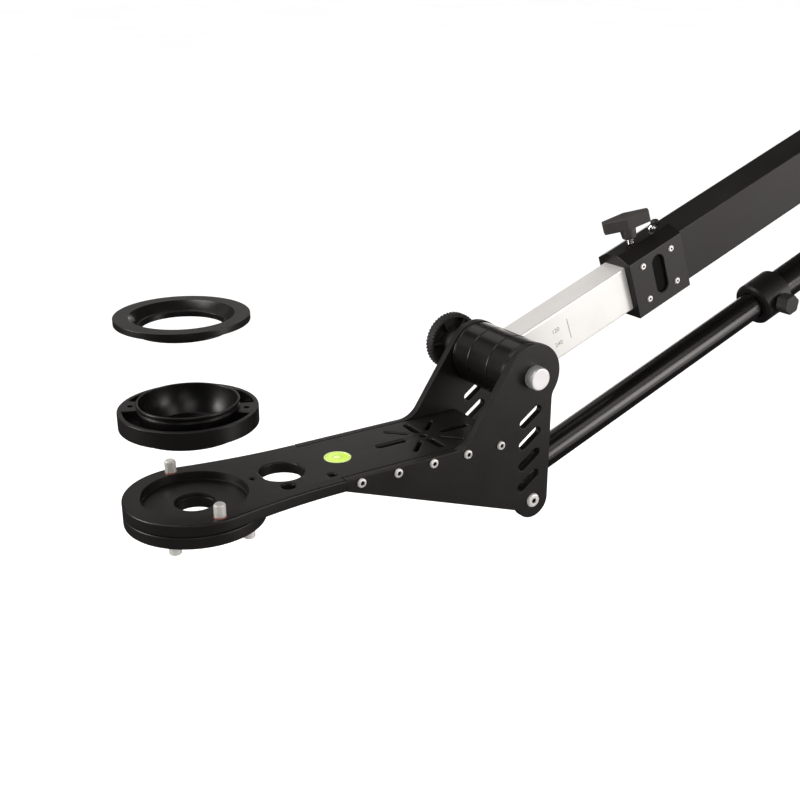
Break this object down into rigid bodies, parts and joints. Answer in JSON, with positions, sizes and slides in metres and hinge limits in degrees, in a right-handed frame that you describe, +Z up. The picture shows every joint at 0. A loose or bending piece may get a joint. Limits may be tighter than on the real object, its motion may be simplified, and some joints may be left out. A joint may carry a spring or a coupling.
{
  "type": "camera jib crane",
  "caption": "Mini jib crane: a telescoping parallelogram arm on a panning yoke that keeps a slotted camera platform level, with lift-off bowl adapters and disc counterweights.",
  "frame": {"origin": "centre of the tripod face under the pan base", "axes": "+Z up out of the tripod, -X to the camera platform, -Y the side the picture shows"},
  "size_m": [2.0124, 0.36, 0.8199],
  "materials": {
    "black_anodised": "satin black anodised",
    "black_gloss_tube": "gloss black",
    "silver_tube": "satin silver anodised",
    "bright_steel": "bright",
    "dark_plastic": "dark grey moulded",
    "black_turned": "turned, black anodised",
    "black_plastic": "moulded",
    "weight_iron": "black painted",
    "brass": "plain",
    "level_green": "clear"
  },
  "bodies": {
    "base": {"pan_base": "black_anodised", "tripod_bush": "brass", "pan_spindle": "bright_steel"},
    "yoke": {"turntable": "black_anodised", "yoke_cheek_near": "black_anodised", "yoke_cheek_far": "black_anodised", "main_shaft": "bright_steel", "rod_pivot_bolt": "bright_steel"},
    "tilt_knob": {"tilt_brake_knob": "black_plastic"},
    "pan_knob": {"pan_lock_knob": "black_plastic"},
    "boom": {"outer_tube": "black_anodised", "saddle_near": "black_anodised", "saddle_far": "black_anodised", "tele_collar": "black_anodised", "slide_guide": "black_plastic", "collar_stop_screw": "bright_steel", "end_block": "black_anodised", "weight_bar": "bright_steel"},
    "wing_knob": {"tele_wing_knob": "dark_plastic"},
    "inner_boom": {"inner_tube": "silver_tube", "tube_knuckle": "black_anodised", "inner_plug": "black_plastic"},
    "head": {"platform": "black_anodised", "base_disc": "black_anodised", "level_vial": "level_green", "gusset_near": "black_anodised", "gusset_far": "black_anodised", "barrel_sleeve_near": "black_anodised", "barrel_sleeve_far": "black_anodised", "head_pivot_pin": "bright_steel", "lower_bolt": "bright_steel", "locating_pin_near": "bright_steel", "locating_pin_far": "bright_steel", "disc_screw_1": "bright_steel", "disc_screw_2": "bright_steel", "disc_screw_3": "bright_steel", "disc_screw_4": "bright_steel", "gusset_near_screw_1": "bright_steel", "gusset_near_screw_2": "bright_steel", "gusset_near_screw_3": "bright_steel", "gusset_near_screw_4": "bright_steel", "gusset_near_screw_5": "bright_steel", "gusset_far_screw_1": "bright_steel", "gusset_far_screw_2": "bright_steel", "gusset_far_screw_3": "bright_steel", "gusset_far_screw_4": "bright_steel", "gusset_far_screw_5": "bright_steel"},
    "tension_knob": {"head_tension_knob": "black_plastic"},
    "rod_rear": {"rod_rear_tube": "black_gloss_tube", "rod_rear_eye": "black_anodised", "rod_clamp": "black_anodised"},
    "rod_knob": {"rod_clamp_knob": "black_plastic"},
    "rod_front": {"rod_front_tube": "black_gloss_tube", "rod_front_eye": "black_anodised"},
    "bowl_adapter": {"adapter_100": "black_turned"},
    "ring_adapter": {"adapter_75": "black_turned"},
    "weight_near_body": {"weight_near": "weight_iron"},
    "weight_far_body": {"weight_far": "weight_iron"},
    "collar_near_body": {"bar_collar_near": "bright_steel"},
    "collar_far_body": {"bar_collar_far": "bright_steel"}
  },
  "joints": [
    {"name": "pan", "type": "hinge", "parent": "base", "child": "yoke", "pos_m": [0, 0, 0.04], "axis": [0, 0, 1], "continuous": true},
    {"name": "boom_tilt", "type": "hinge", "parent": "yoke", "child": "boom", "pos_m": [0, 0, 0.33], "axis": [0, 1, 0], "range_deg": [-24.5, 65.5]},
    {"name": "tilt_brake_turn", "type": "hinge", "parent": "yoke", "child": "tilt_knob", "pos_m": [0, 0, 0.33], "axis": [0, 1, 0], "range_deg": [-180, 180]},
    {"name": "pan_lock_turn", "type": "hinge", "parent": "yoke", "child": "pan_knob", "pos_m": [0.08, 0, 0.0493], "axis": [1, 0, 0], "range_deg": [-180, 180]},
    {"name": "telescope", "type": "slide", "parent": "boom", "child": "inner_boom", "axis": [-0.9367, 0, -0.3502], "range_m": [-0.14, 0.25]},
    {"name": "tele_wing_turn", "type": "hinge", "parent": "boom", "child": "wing_knob", "pos_m": [-0.72217, 0, 0.05999], "axis": [-0.3502, 0, 0.9367], "range_deg": [-180, 180]},
    {"name": "head_level", "type": "hinge", "parent": "inner_boom", "child": "head", "pos_m": [-0.93667, 0, -0.02021], "axis": [0, 1, 0], "range_deg": [-65.5, 24.5]},
    {"name": "head_tension_turn", "type": "hinge", "parent": "head", "child": "tension_knob", "pos_m": [-0.93667, 0, -0.02021], "axis": [0, 1, 0], "range_deg": [-180, 180]},
    {"name": "rod_tilt", "type": "hinge", "parent": "yoke", "child": "rod_rear", "pos_m": [0.006, 0, 0.1695], "axis": [0, 1, 0], "range_deg": [-24.5, 65.5]},
    {"name": "rod_telescope", "type": "slide", "parent": "rod_rear", "child": "rod_front", "axis": [-0.9367, 0, -0.3502], "range_m": [-0.14, 0.25]},
    {"name": "rod_clamp_turn", "type": "hinge", "parent": "rod_rear", "child": "rod_knob", "pos_m": [-0.47198, 0, -0.00921], "axis": [0, -1, 0], "range_deg": [-180, 180]},
    {"name": "adapter_100_lift", "type": "slide", "parent": "head", "child": "bowl_adapter", "axis": [0, 0, 1], "range_m": [-0.0798, 0]},
    {"name": "adapter_75_lift", "type": "slide", "parent": "bowl_adapter", "child": "ring_adapter", "axis": [0, 0, 1], "range_m": [-0.0836, 0]},
    {"name": "bar_collar_near_slide", "type": "slide", "parent": "boom", "child": "collar_near_body", "axis": [0, -1, 0], "range_m": [0, 0.1]},
    {"name": "bar_collar_far_slide", "type": "slide", "parent": "boom", "child": "collar_far_body", "axis": [0, 1, 0], "range_m": [0, 0.1]},
    {"name": "weight_near_slide", "type": "slide", "parent": "boom", "child": "weight_near_body", "axis": [0, -1, 0], "range_m": [0, 0.1]},
    {"name": "weight_far_slide", "type": "slide", "parent": "boom", "child": "weight_far_body", "axis": [0, 1, 0], "range_m": [0, 0.1]}
  ],
  "couplings": [
    {"joint": "head_level", "follows": "boom_tilt", "ratio": -1},
    {"joint": "rod_tilt", "follows": "boom_tilt", "ratio": 1},
    {"joint": "rod_telescope", "follows": "telescope", "ratio": 1},
    {"joint": "bar_collar_near_slide", "follows": "weight_near_slide", "ratio": 1},
    {"joint": "bar_collar_far_slide", "follows": "weight_far_slide", "ratio": 1}
  ]
}
